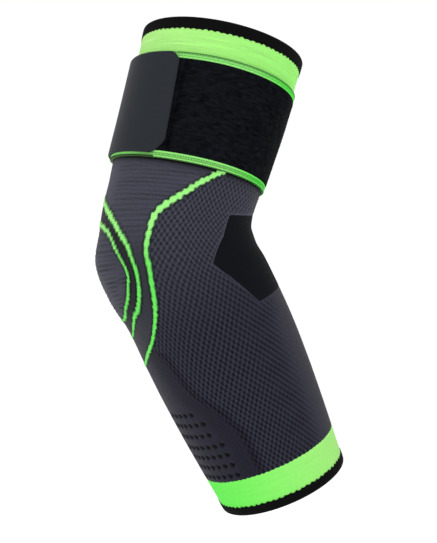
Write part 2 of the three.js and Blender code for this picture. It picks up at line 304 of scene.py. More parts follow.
def centre(station):
    """A point of the centreline: a straight run, an arc and a straight run, leaning away to +Y."""
    upper_away = math.tan(math.radians(UPPER_RECEDES))
    forearm_away = math.tan(math.radians(FOREARM_RECEDES))
    carry = np.hypot(station, CARRY_RADIUS) - CARRY_RADIUS
    away = (upper_away + forearm_away) / 2 * carry + (upper_away - forearm_away) / 2 * station
    up, low = math.radians(UPPER_LEAN), math.radians(FOREARM_LEAN)
    run = TANGENT + np.abs(station) - HALF_ARC
    lean = up - (HALF_ARC - station) / BEND_RADIUS
    x = np.where(station > 0, math.sin(up), math.sin(low)) * run
    z = np.where(station > 0, math.cos(up), -math.cos(low)) * run
    arc_x = math.sin(up) * TANGENT + BEND_RADIUS * (math.cos(up) - np.cos(lean))
    arc_z = math.cos(up) * TANGENT - BEND_RADIUS * (math.sin(up) - np.sin(lean))
    on_arc = np.abs(station) < HALF_ARC
    return np.stack([np.where(on_arc, arc_x, x), away, np.where(on_arc, arc_z, z)], -1)


def unit(vectors):
    return vectors / np.linalg.norm(vectors, axis=-1, keepdims=True)


def smoothstep(value, low, high):
    t = np.clip((value - low) / (high - low), 0, 1)
    return t * t * (3 - 2 * t)


def place(station, angle, lift):
    """Points at angles round the sleeve, lift outside its outer face. Angle 0 is the middle of the
    crease, 90 the side where the strap closes and 180 the point of the elbow."""
    station, angle, lift = np.broadcast_arrays(*(np.asarray(v, float) for v in (station, angle, lift)))
    along = unit(centre(station + 0.5) - centre(station - 0.5))
    to_crease = unit(np.stack([along[..., 2], 0 * station, -along[..., 0]], -1))
    to_side = unit(np.cross(to_crease, along))
    turn = np.radians(angle)
    depth = np.where(np.cos(turn) > 0, reach(CREASE, station), reach(ELBOW, station))
    ahead = (depth + lift) * np.cos(turn)
    aside = (reach(SIDE, station) + lift) * np.sin(turn)
    skew = np.radians(LOWER_RIM_SKEW * smoothstep(-station / FOREARM_LENGTH, SKEW_START, 1))
    slip = np.tan(skew) * ahead
    return (
        centre(station)
        + to_crease * ahead[..., None]
        + to_side * aside[..., None]
        - along * slip[..., None]
    )


def folded(angle):
    """An angle from 0 at the crease to 180 at the elbow's point, the same on both sides."""
    return 180 - np.abs(180 - np.mod(angle, 360))


def smooth_line(points, steps=24):
    """A dense line on a smooth curve through a few points."""
    p = np.array(points, float)
    p = np.concatenate([2 * p[:1] - p[1:2], p, 2 * p[-1:] - p[-2:-1]])
    t = np.linspace(0, 1, steps, endpoint=False)[:, None]
    parts = [
        b + 0.5 * ((c - a) * t + (2 * a - 5 * b + 4 * c - d) * t**2 + (3 * b - a - 3 * c + d) * t**3)
        for a, b, c, d in zip(p, p[1:], p[2:], p[3:])
    ]
    return np.concatenate([*parts, p[-2:-1]])


def angle_of(points, station):
    """The angle of a line at each station, and PAST_ELBOW where the line doesn't reach."""
    line = smooth_line(points)[::-1]
    return np.interp(station, line[:, 0], line[:, 1], left=PAST_ELBOW, right=PAST_ELBOW)


def distance_to(points, station, angle):
    """How far each spot of the sleeve is from a line on it, and how far along the line it lies, in
    millimetres."""
    line = smooth_line(points) * [1, MM_PER_DEGREE]
    lengths = np.cumsum(np.linalg.norm(np.diff(line, axis=0, prepend=line[:1]), axis=1))
    nearest, along = np.full(station.shape, np.inf), np.zeros_like(station)
    for (at, aside), length in zip(line, lengths):
        spot = np.hypot(station - at, angle * MM_PER_DEGREE - aside)
        along = np.where(spot < nearest, length, along)
        nearest = np.minimum(nearest, spot)
    return nearest, along


def wall_quads(outer_shape, inner_shape, goes_round):
    """The faces of a closed wall between two grids of corners, which have the same columns."""
    columns = outer_shape[1]
    rows_out, rows_in = outer_shape[0], inner_shape[0]
    spans = columns if goes_round else columns - 1
    j = np.arange(spans)
    k = (j + 1) % columns

    def skin(rows, start):
        i = np.arange(rows - 1)[:, None]
        a = start + i * columns
        return np.stack([a + j, a + k, a + columns + k, a + columns + j], -1).reshape(-1, 4)

    start = rows_out * columns
    outer, inner = skin(rows_out, 0), skin(rows_in, start)[:, ::-1]
    first = np.stack([j, start + j, start + k, k], -1)
    end, start_end = (rows_out - 1) * columns, start + (rows_in - 1) * columns
    last = np.stack([end + j, end + k, start_end + k, start_end + j], -1)
    quads = [outer, inner, first, last]
    if not goes_round:
        i = np.arange(rows_out - 1) * columns
        step = i + columns
        quads.append(np.stack([i, step, start + step, start + i], -1))
        edge = columns - 1
        quads.append(np.stack([i + edge, start + i + edge, start + step + edge, step + edge], -1))
    return np.concatenate(quads)


def make_piece(name, points, faces, cloth_at, smooth=60):
    """A closed piece from its corners and its four-sided faces. cloth_at holds the place of each corner
    on the flat cloth, in millimetres, for the fine stitches of its material. Edges that turn by more
    than smooth degrees stay sharp."""
    first, second, third, fourth = points[faces].transpose(1, 0, 2)
    volume = (first * (np.cross(second, third) + np.cross(third, fourth))).sum()
    if volume < 0:
        faces = faces[:, ::-1]
    mesh = bpy.data.meshes.new(name)
    mesh.vertices.add(len(points))
    mesh.vertices.foreach_set("co", (points / 1000).ravel())
    mesh.loops.add(faces.size)
    mesh.loops.foreach_set("vertex_index", faces.ravel().astype(np.int32))
    mesh.polygons.add(len(faces))
    mesh.polygons.foreach_set("loop_start", np.arange(0, faces.size, 4, dtype=np.int32))
    mesh.update(calc_edges=True)
    mesh.polygons.foreach_set("use_smooth", np.ones(len(faces), bool))
    mesh.set_sharp_from_angle(angle=math.radians(smooth))
    flat = cloth_at[faces]
    # The column that closes a ring continues the count instead of starting it again
    turn = 360 * MM_PER_DEGREE
    wrap = (flat[..., 0].max(1) - flat[..., 0].min(1)) > turn / 2
    flat[wrap, :, 0] += np.where(flat[wrap, :, 0] < turn / 2, turn, 0)
    layer = mesh.uv_layers.new(name="cloth")
    layer.data.foreach_set("uv", flat.ravel().astype(np.float32))
    piece = bpy.data.objects.new(name, mesh)
    bpy.context.scene.collection.objects.link(piece)
    return piece


def make_wall(name, outer, inner, goes_round, maps, smooth=60):
    """A closed wall between its outer and inner grids of points. maps holds where each grid's corners
    lie on the flat cloth."""
    points = np.concatenate([outer.reshape(-1, 3), inner.reshape(-1, 3)])
    cloth_at = np.concatenate([grid.reshape(-1, 2) for grid in maps])
    return make_piece(name, points, wall_quads(outer.shape, inner.shape, goes_round), cloth_at, smooth)


def paint(piece, shade, colour=None):
    """Stores on each corner of a piece's outer face its painted shade, negative for a painted highlight,
    and the colour of its yarn. The corners of its inner face follow in colour, if it is given for them,
    and aren't shaded."""
    mesh = piece.data
    shades = mesh.attributes.new("shade", "FLOAT", "POINT")
    values = np.zeros(len(mesh.vertices), np.float32)
    values[: shade.size] = shade.ravel()
    shades.data.foreach_set("value", values)
    if colour is not None:
        yarn = mesh.attributes.new("yarn", "FLOAT_COLOR", "POINT")
        rgba = np.concatenate([colour, np.ones((len(colour), 1))], 1)
        yarn.data.foreach_set("color", rgba.astype(np.float32).ravel())


def dress(piece, material, node):
    """Gives a piece its material and makes it stand for its solid."""
    piece.data.materials.append(material)
    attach(piece, "root")
    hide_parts(node)
    return piece


def add_node(tree, kind, inputs=None, **settings):
    node = tree.nodes.new("ShaderNode" + kind)
    for key, value in settings.items():
        setattr(node, key, value)
    for key, value in (inputs or {}).items():
        if isinstance(value, bpy.types.NodeSocket):
            tree.links.new(value, node.inputs[key])
        else:
            node.inputs[key].default_value = value
    return node


def calc(tree, operation, *values):
    node = add_node(tree, "Math", dict(enumerate(values)), operation=operation)
    return node.outputs[0]


def tinted(tree, colour, amount):
    """A colour times a number."""
    inputs = {0: 1.0, 6: colour, 7: amount}
    return add_node(tree, "Mix", inputs, data_type="RGBA", blend_type="MULTIPLY").outputs[2]


def cloth_axes(tree):
    """The place on the flat cloth, along its rows and across them."""
    cloth = add_node(tree, "UVMap", uv_map="cloth")
    return add_node(tree, "SeparateXYZ", {0: cloth.outputs[0]}).outputs[:2]


def cords(tree, place_across, pitch):
    """Parallel cords, from 0 between them to 1 on top."""
    wave = calc(tree, "SINE", calc(tree, "MULTIPLY", place_across, math.tau / pitch))
    return calc(tree, "MULTIPLY_ADD", wave, 0.5, 0.5)


def stitches(tree, wale, course):
    """Rows of V-shaped stitches, from 0 in the gaps to 1 on the yarn."""
    x, y = cloth_axes(tree)
    fold = calc(tree, "PINGPONG", x, wale / 2)
    return cords(tree, calc(tree, "ADD", calc(tree, "MULTIPLY", fold, STITCH_SLANT), y), course)


def noise(tree, scale, detail=3.0):
    """Noise with its size given by how many waves fit into a metre."""
    coordinates = add_node(tree, "TexCoord")
    inputs = {"Vector": coordinates.outputs["Object"], "Scale": scale, "Detail": detail}
    return add_node(tree, "TexNoise", inputs).outputs[0]


def cloth_material(name, colour, relief, roughness, sheen, relief_depth=0.12, weave_shade=0.3,
                   mottle=0.25, mottle_scale=900, specular=0.15, sheen_tint=(1, 1, 1)):
    """A woven or knitted material. colour is a colour, or None for the piece's own painted yarn, and
    relief makes the height of its weave."""
    material = bpy.data.materials.new(name)
    material.use_nodes = True
    tree = material.node_tree
    shader = next(n for n in tree.nodes if n.type == "BSDF_PRINCIPLED")
    weave = relief(tree)
    fuzz = noise(tree, mottle_scale)
    if colour is None:
        base = add_node(tree, "Attribute", attribute_name="yarn").outputs["Color"]
    else:
        base = (*colour, 1.0)
    light = calc(tree, "MULTIPLY_ADD", weave, weave_shade, 1 - 0.6 * weave_shade)
    grain = calc(tree, "MULTIPLY_ADD", fuzz, 2 * mottle, 1 - mottle)
    light = calc(tree, "MULTIPLY", light, grain)
    # The painted shade stored on the corners darkens the colour, and a negative one is a painted
    # highlight
    shade = add_node(tree, "Attribute", attribute_name="shade").outputs["Fac"]
    light = calc(tree, "MULTIPLY", light, calc(tree, "SUBTRACT", 1.0, shade))
    tree.links.new(tinted(tree, base, light), shader.inputs["Base Color"])
    height = calc(tree, "MULTIPLY_ADD", fuzz, 0.5, weave)
    bump = add_node(tree, "Bump", {"Height": height, "Strength": 1.0, "Distance": relief_depth / 1000})
    tree.links.new(bump.outputs[0], shader.inputs["Normal"])
    shader.inputs["Roughness"].default_value = roughness
    shader.inputs["Specular IOR Level"].default_value = specular
    shader.inputs["Sheen Weight"].default_value = sheen
    shader.inputs["Sheen Roughness"].default_value = 0.45
    shader.inputs["Sheen Tint"].default_value = (*sheen_tint, 1.0)
    return material


def ring_angles(columns):
    """Even angles round the sleeve, one for each column."""
    return 360 * np.arange(columns) / columns


def cloth_map(station, angle):
    """The place of each spot of the sleeve on the flat cloth, in millimetres."""
    return np.stack(np.broadcast_arrays(angle * MM_PER_DEGREE, station), -1)


def panel_rows():
    """The panel's outline: at its middle line and at its edge its stations, and half its width there in
    degrees, from its lower end up."""
    degrees = 360 / (math.pi * (reach(CREASE, 0.0) + reach(SIDE, 0.0)))
    middle, edge, half = np.array(PANEL_OUTLINE)[::-1].T
    down = PANEL_TOP - PANEL_LENGTH * np.stack([middle, edge])
    return down[0], down[1], half * PANEL_WIDTH / 2 * degrees


def panel_depth(station, angle):
    """How far inside the crease panel's outline each spot lies, in millimetres, negative outside."""
    middle, edge, half = panel_rows()
    turn = folded(angle)
    # The station at which the row through each spot reaches the panel's edge
    level = station
    for _ in range(12):
        inward = 1 - np.clip(turn / np.interp(level, edge, half), 0, 1)
        level = station - np.interp(level, edge, middle - edge) * inward
    side = (np.interp(level, edge, half) - turn) * MM_PER_DEGREE + PANEL_MARGIN
    top, bottom = edge[-1] - level, level - edge[0]
    return np.minimum(np.minimum(top, bottom), side * 0.85)


def line_angles(station):
    """The angles of the long line, of both ovals and of the plain knit's edge at each station."""
    return [angle_of(points, station) for points in (LONG_LINE, OUTER_OVAL, INNER_OVAL, PLAIN_EDGE)]


def eyelet_weave(station, turn, bent, low):
    """The mesh's weave, from -1 on its yarn to 1 in its eyelets. Two families of slanting threads
    cross, and on the forearm one of them fades towards the crease, which leaves slots."""
    limb = np.sign(station)
    closer = 0.6 * np.maximum(bent * limb, 0) * limb * (1 - smoothstep(np.abs(station), 25, 80))
    stations, pitches = np.array(EYELET_PITCHES).T
    rows_below = np.cumsum([0, *np.diff(stations) * 2 / (pitches[1:] + pitches[:-1])])
    row = np.interp(station + closer, stations, rows_below)
    column = (np.arange(COLUMNS) + 0.5) / EYELET_COLUMNS
    rising, falling = np.cos(math.tau * (row - column)), np.cos(math.tau * (row + column))
    share = 0.55 + 0.4 * low * (1 - smoothstep(turn, 45, 85))
    weave = share * rising + (1 - share) * falling
    return np.clip(2.1 * weave + 0.3, -1, 1)


def rib_valleys(station, turn, bent):
    """How deep each corner lies between the ribs, as a share that differs a little from rib to rib."""
    phase = (station + np.where(station > 0, *RIB_TILT) * bent) / RIB_PITCH
    uneven = 0.85 + 0.2 * np.sin(phase * 1.9) + 0.2 * np.sin(phase * 1.3 + turn / 9)
    return (0.5 + 0.5 * np.cos(math.tau * phase)) ** 1.5 * uneven


def vent_depths(station, turn):
    """How deep each corner lies in a vent, as a share."""
    vents = np.zeros_like(station)
    for level, start in VENT_ROWS:
        i = np.argmin(np.abs(station[:, 0] - level))
        for j in range(0, COLUMNS, VENT_COLUMNS):
            if turn[i, j] > start:
                across = (j + np.arange(-2, 4)) % COLUMNS
                vents[np.ix_([i + 2, i + 1, i, i - 1], across)] = VENT_CHART
    return vents


def sleeve_relief(station, angle):
    """How far each corner of the knit lies below the sleeve's outer face, and its painted shade, which
    is negative where it is a painted highlight.
    """
    turn = folded(angle)
    long_line, outer_oval, inner_oval, plain_edge = line_angles(station)
    behind_line = smoothstep(turn, long_line - 0.5, long_line + 0.5)
    in_outer = smoothstep(turn, outer_oval - 0.5, outer_oval)
    in_inner = smoothstep(turn, inner_oval - 0.5, inner_oval)
    plain = smoothstep(turn, plain_edge, plain_edge + 4) * (1 - behind_line)
    low = smoothstep(-station, 0, 60)
    # How much further along the arm the bend brings each spot than the centreline
    outward = -np.cos(np.radians(turn)) * reach(ELBOW, station) / BEND_RADIUS
    bent = outward * np.clip(station, -HALF_ARC, HALF_ARC)

    # The mesh thins out towards the crease, and on the forearm it ends short of it
    kept = CREASE_MESH * (1 - low)
    off_crease = kept + (1 - kept) * smoothstep(turn - 23 * low, 8, 32)
    panel_edge = panel_depth(station, angle)
    off_panel = 1 - smoothstep(panel_edge, -1.0, -0.2)
    mesh = (1 - behind_line) * (1 - plain) * off_crease * off_panel
    eyelets = eyelet_weave(station, turn, bent, low) * mesh
    holes, bulges = np.maximum(eyelets, 0), np.minimum(eyelets, 0)

    # The ribs lie in the channel and in the inner oval, and faint ones follow the plain knit's edge
    channel = behind_line * (1 - in_outer) * (1 - 0.75 * smoothstep(-station, -12, 4))
    bare = smoothstep(turn, 146, 158) * smoothstep(station, 12, 20)
    ribs = rib_valleys(station, turn, bent) * (CHANNEL_RIBS * channel + OVAL_RIBS * in_inner)
    ribs = ribs * (1 - 0.8 * bare)
    contour = 0.5 + 0.5 * np.cos((turn - plain_edge) * MM_PER_DEGREE * math.tau / RIB_PITCH)
    faint = contour * plain * (1 - smoothstep(turn - plain_edge, 10, 20))
    vents = vent_depths(station, turn)

    panel = smoothstep(panel_edge, 0.1, 0.7)
    depth = EYELET_DEPTH * holes + YARN_BULGE * bulges + RIB_DEPTH * (ribs + faint) + VENT_DEPTH * vents
    depth = depth * (1 - panel) + PANEL_RECESS * panel
    piping = np.exp(-(((panel_edge + 0.9) / 0.6) ** 2))
    # Painted shade in the hollows, painted highlight on raised yarn and bare knit, lighter piping by the
    # panel
    hole_shade = HOLE_SHADE + HOLE_GAIN * low
    hollows = [hole_shade * holes, RIB_SHADE * ribs, FAINT_SHADE * faint, VENT_SHADE * vents]
    shade = np.maximum.reduce(hollows)
    shade = shade + YARN_HIGHLIGHT * bulges - PIPING_GLOW * piping - BARE_HIGHLIGHT * bare
    # Painted shadow under the strap's lower edge
    under_strap = STRAP_SHADOW * np.exp(-np.abs(STRAP_BOTTOM - station) / SHADOW_REACH)
    return depth, np.maximum(shade, np.clip(under_strap, 0, 0.95))


def green_amount(station, angle):
    """How green the thread is at each corner, and how much painted shade lies on the knit just beside
    the green lines. Two rows are one course, and step together a little."""
    course = np.arange(len(station)) // 2 * 2
    level = station * (1 - COURSE_STEP) + station[course] * COURSE_STEP
    turn = folded(angle)
    high = smoothstep(station, -5, 15)
    jitter = np.random.default_rng(3).normal(0, 0.07, len(station))[course][:, None]
    green, beside = np.zeros_like(station), np.zeros_like(station)
    for points, width, pitch in GREEN_LINES:
        distance, along = distance_to(points, level, turn)
        bead = 0.38 * np.cos(math.tau * along / pitch) + 0.14 * np.sin(0.9 * along)
        outside = distance - width / 2 * (1 + 0.3 * high + (0.4 + 0.6 * high) * bead) + jitter
        green = np.maximum(green, 1 - smoothstep(outside, -0.3, 0.3))
        beside = np.maximum(beside, 1 - smoothstep(np.abs(outside - 0.5), 0, 0.8))
    return green, beside


def mixed(first, second, share):
    """A mix of two colours, by a share for each spot."""
    return np.array(first) * (1 - share[..., None]) + np.array(second) * share[..., None]


def knit_colours(station, angle, green):
    """The yarn's colour at each corner."""
    turn = folded(angle)
    long_line, outer_oval, inner_oval, plain_edge = line_angles(station)
    low = smoothstep(-station, -18, 42)
    front = mixed(MESH_GREY, FOREARM_GREY, low)
    front = mixed(front, CREASE_GREY, (1 - smoothstep(turn, 15, 50)) * low)
    front = mixed(front, PLAIN_GREY, smoothstep(turn, plain_edge - 8, plain_edge))
    channel = mixed(RIB_GREY, CHANNEL_GREY, smoothstep(-station, -12, 6))
    back = mixed(channel, RIB_GREY, turn > inner_oval)
    back = mixed(back, RING_GREY, (turn > outer_oval) & (turn < inner_oval))
    thread = mixed(*LINE_GREENS, smoothstep(-station, -12, 8))
    return mixed(mixed(front, back, turn > long_line), thread, green)


def sleeve_angles():
    """The angles of the sleeve's columns, which lie closer together round the point of the elbow."""
    even = ring_angles(COLUMNS)
    angle = even
    # Each round brings the angle closer to the one that the spread asks for
    for _ in range(12):
        angle = even + np.degrees(COLUMN_SPREAD * np.sin(np.radians(angle)))
    return angle


def make_sleeve():
    """The knitted body, from one band to the other. Its relief ends under the strap."""
    bottom, top = LOWER_BAND_EDGE + BAND_GAP, UPPER_BAND_EDGE - BAND_GAP
    stations = np.concatenate([
        np.linspace(bottom, KNIT_TOP, FINE_ROWS + 1),
        np.linspace(KNIT_TOP, top, COVERED_ROWS + 1)[1:],
    ])
    station, angle = np.meshgrid(stations, sleeve_angles(), indexing="ij")
    depth, shade = sleeve_relief(station, angle)
    green, beside = green_amount(station, angle)
    depth = depth * (1 - green) - THREAD_HEIGHT * green
    # Painted shade on the knit beside the green lines
    shade = np.maximum(shade * (1 - green), BESIDE_SHADE * beside)
    shade = np.where(green > 0.9, 0, shade)
    depth[0] = 0
    depth[FINE_ROWS + 1 :] = 0
    station[0] -= toothed(angle[0], BORDER_TEETH, BORDER_TOOTH)
    wobble = np.random.default_rng(11).normal(0, KNIT_WOBBLE, depth.shape)
    outer = place(station, angle, wobble - depth)

    in_stations = np.linspace(bottom, top, LINING_ROWS + 1)
    in_station, in_angle = np.meshgrid(in_stations, sleeve_angles(), indexing="ij")
    in_station[0] = station[0]
    inner = place(in_station, in_angle, -WALL)
    maps = (cloth_map(station, angle), cloth_map(in_station, in_angle))
    piece = make_wall("knit_body", outer, inner, True, maps, smooth=180)
    lining = mixed(FOREARM_GREY, PANEL_BLACK, smoothstep(panel_depth(in_station, in_angle), -0.5, 0.5))
    colours = [grid.reshape(-1, 3) for grid in (knit_colours(station, angle, green), lining)]
    paint(piece, shade, np.concatenate(colours))
    return piece


def toothed(angle, teeth, height):
    """How far a border's rounded teeth reach at each angle. They are as uneven as knitted loops are."""
    phase = np.radians(angle) * teeth / 2
    uneven = 0.75 + 0.25 * np.sin(np.radians(angle) * 13) * np.sin(np.radians(angle) * 31)
    return height * uneven * np.abs(np.sin(phase)) ** 0.7


def band_streaks(rows, columns):
    """Smooth random streaks along each row of a band, which close round the ring."""
    knots = np.random.default_rng(5).standard_normal((rows, BAND_STREAKS))
    knots = np.concatenate([knots, knots[:, :1]], axis=1)
    at = np.linspace(0, BAND_STREAKS, columns, endpoint=False)
    return np.stack([np.interp(at, np.arange(BAND_STREAKS + 1), row) for row in knots])


def make_band(name, top, bottom, greens, rib, uneven, top_teeth, bottom_teeth):
    """A coloured band with fine ribs and toothed borders. greens are its colours at the point of the
    elbow and at the crease, and the yellower one is a painted highlight. rib is how deep its ribs are
    and how much painted shade lies in their valleys, uneven is how much that painted shade varies, and
    each border's teeth are given as their number and their height. Its borders get a painted highlight."""
    columns = COLUMNS_PER_TOOTH * max(top_teeth[0], bottom_teeth[0])
    angle = ring_angles(columns)[None, :]
    rows = 2 * round((top - bottom) / BAND_RIB)
    share = np.linspace(0, 1, rows + 1)[:, None]
    high = top + toothed(angle, *top_teeth)
    low = bottom - toothed(angle, *bottom_teeth)
    station = high + (low - high) * share
    valley = np.arange(rows + 1)[:, None] % 2 * np.ones_like(angle)
    outer = place(station, angle, -rib * valley)
    in_station = high + (low - high) * np.linspace(0, 1, 5)[:, None]
    inner = place(in_station, angle, -WALL)
    maps = (cloth_map(station, angle), cloth_map(in_station, angle))
    piece = make_wall(name, outer, inner, True, maps)
    # Painted shade in the rib valleys, varying in streaks, and a painted highlight along both borders
    strength = rib + uneven * band_streaks(rows + 1, columns)
    crest = -BAND_BORDER_HIGHLIGHT * np.exp(-((np.minimum(share, 1 - share) * (top - bottom) / 0.8) ** 2))
    # The colour shifts round the ring towards the yellower green, which is a painted highlight
    to_crease = (1 + np.cos(np.radians(angle))) / 2
    colours = mixed(*greens, to_crease)
    colours = np.broadcast_to(colours, (len(share) + len(in_station), columns, 3)).reshape(-1, 3)
    paint(piece, valley * strength + crest, colours)
    return piece


def make_hem(name, border, rim, teeth, tooth):
    """A doubled hem: toothed where it meets its band and rolled over at the rim."""
    columns = COLUMNS_PER_TOOTH * teeth
    angle = ring_angles(columns)[None, :]
    outward = 1 if rim > border else -1
    edge = border + outward * toothed(angle, teeth, tooth)
    roll = HEM_WALL / 2
    middle, crest = HEM_PROUD - roll, rim - outward * roll
    # A straight run up from the band, a half circle over the rim and a straight run down inside
    up = np.linspace(0, 1, 6)[:-1, None]
    over = np.linspace(0, math.pi, 15)[:, None]
    down = np.linspace(0, 1, 5)[1:, None]
    station = np.concatenate([
        edge + (crest - edge) * up,
        crest + outward * roll * np.sin(over) + 0 * angle,
        crest + (edge - crest) * down,
    ])
    bulge = HEM_BULGE * np.sin(math.pi * np.clip((station - border) / (rim - border), 0, 1))
    lift = np.concatenate([
        np.full((len(up), 1), middle + roll),
        middle + roll * np.cos(over),
        np.full((len(down), 1), middle - roll),
    ])
    surface = place(station, angle, lift + bulge)
    # The last row joins the first one in a flat end at the border
    rows = len(surface)
    j = np.arange(columns)
    k = (j + 1) % columns
    i = np.arange(rows)[:, None] * columns
    n = (i + columns) % (rows * columns)
    faces = np.stack([i + j, i + k, n + k, n + j], -1).reshape(-1, 4)
    arc = np.cumsum(np.concatenate([[0], np.linalg.norm(np.diff(surface[:, 0], axis=0), axis=1)]))
    cloth_at = cloth_map(arc[:, None], angle).reshape(-1, 2)
    return make_piece(name, surface.reshape(-1, 3), faces, cloth_at)


def make_panel():
    """The plain panel in the crease, tucked in round its edge."""
    rows, columns = 76, 96
    past_end, past_side = 0.25, PANEL_MARGIN + 0.3
    share = np.linspace(1, 0, rows + 1)[:, None]
    across = np.linspace(-1, 1, columns + 1)[None, :]
    middle, edge, half = panel_rows()
    level = edge[0] - past_end + share * (edge[-1] - edge[0] + 2 * past_end)
    half = np.interp(level, edge, half) + past_side / MM_PER_DEGREE
    angle = across * half
    station = level + np.interp(level, edge, middle - edge) * (1 - np.abs(across))
    to_side = (1 - np.abs(across)) * half * MM_PER_DEGREE
    to_end = np.minimum(share, 1 - share) * PANEL_LENGTH
    tuck = PANEL_TUCK * (1 - smoothstep(np.minimum(to_side, to_end), 0, 1.2))
    outer = place(station, angle, PANEL_PROUD - tuck)
    inner = place(station, angle, PANEL_PROUD - PANEL_THICK)
    maps = [cloth_map(station, angle)] * 2
    return make_wall("crease_knit", outer, inner, False, maps)


def strap_lift(sweep):
    """How far the strap's inner face lies off the sleeve, at a sweep from its start."""
    top = 360 - RAMP_AHEAD
    return STRAP_CLEAR + LAYER * smoothstep(sweep, top - STRAP_RAMP, top)


def make_strap_run(name, top, bottom, thick, rows, step, profile):
    """A length of strap from its start to its free end. profile gives, by the share across it and the
    place along it, the height of its outer face over its thickness and how shaded it is."""
    columns = round(STRAP_SWEEP / step)
    sweep = np.linspace(STRAP_SWEEP, 0, columns + 1)[None, :]
    share = np.linspace(0, 1, rows + 1)[:, None]
    station = top + (bottom - top) * share + 0 * sweep
    angle = STRAP_START - sweep + 0 * station
    lift = strap_lift(sweep) + 0 * station
    height, shade = profile(share, sweep)
    outer = place(station, angle, lift + thick + height)
    inner = place(station, angle, lift)
    flat = np.stack([sweep * STRAP_MM_PER_DEGREE + 0 * station, station], -1)
    piece = make_wall(name, outer, inner, False, [flat] * 2)
    colours = mixed(*EDGE_GREENS, smoothstep(folded(angle), 25, 75)).reshape(-1, 3)
    # The strap's inner face is painted dark, as painted shade
    paint(piece, shade, np.concatenate([colours, SHADED_INSIDE * colours]))
    return piece


def brushed(share, sweep):
    """The soft uneven face of the loop elastic, rounded down at both sides. Its shade is painted shade
    that darkens it towards the crease, with a painted shadow beside the tab's free edge, and uneven
    streaks.
    """
    nap = np.random.default_rng(23).normal(0, 0.035, (len(share), sweep.shape[1]))
    turn = np.radians(sweep)
    waves = 0.1 * np.sin(9 * turn + 5 * share) + 0.07 * np.sin(21 * turn - 9 * share)
    waves = waves * np.sin(math.pi * share)
    side = np.minimum(share, 1 - share) * STRAP_WIDTH
    height = nap + waves - 0.25 * (1 - smoothstep(side, 0, 1.2))
    streaks = 4 * sum(np.roll(nap, shift, 1) for shift in range(4))
    # Painted shade towards the crease and a painted shadow beside the tab's free edge
    to_crease = 1 - smoothstep(folded(STRAP_START - sweep), 15, 75)
    tab_shadow = np.exp(-np.abs(sweep - TAB_COVERS - 7) / 2)
    return height, np.clip(0.58 * to_crease + streaks + 0.7 * tab_shadow, -0.6, 0.9)


def corded(line, seam_shade):
    """The profile of an edge: three cords, the middle one lower, crossed by binding threads. line is
    the share across it at which a dark line runs, partly a thread and partly painted shadow, and the
    seam's shade is how much darker its middle cord is, partly a darker seam and partly painted shade in
    its hollow.
    Painted shade lies between the cords, and a painted shadow where the tab covers the edge."""

    def profile(share, sweep):
        cord = np.abs(np.sin(3 * math.pi * share)) ** 0.8
        middle = np.exp(-(((share - 0.5) / 0.16) ** 2))
        along = sweep * STRAP_MM_PER_DEGREE * math.tau / BINDING_PITCH
        thread = 0.5 + 0.5 * np.cos(along + 4 * share)
        knots = 0.5 + 0.5 * np.cos(along * 0.5 + 9 * share)
        to_crease = 1 - smoothstep(folded(STRAP_START - sweep), 5, 60)
        height = -0.45 + 0.45 * cord + 0.07 * thread * cord - 0.12 * middle - 0.4 * to_crease
        # A dark line, partly a thread and partly painted shadow
        dark = np.exp(-(((share - line) / 0.1) ** 2)) * (0.75 + 0.2 * thread)
        # Painted shadow where the tab covers the edge, darkest along its lower side
        under_tab = 1 - smoothstep(sweep, TAB_COVERS - 2, TAB_COVERS)
        border = 0.1 + 0.4 * smoothstep(sweep, TAB_COVERS - 30, TAB_COVERS)
        border = border + smoothstep(share, 0.77, 0.87)
        uneven = np.random.default_rng(29).normal(0, 0.12, (1, sweep.shape[1]))
        # Painted shade between the cords and in the middle cord's hollow
        shade = 0.3 * (1 - cord) + seam_shade * middle * (0.5 + thread + uneven)
        shade = shade + 0.15 * knots * thread + dark
        shade = np.maximum(shade * (1 - under_tab), under_tab * border)
        return height, np.clip(shade, 0, 0.95)

    return profile


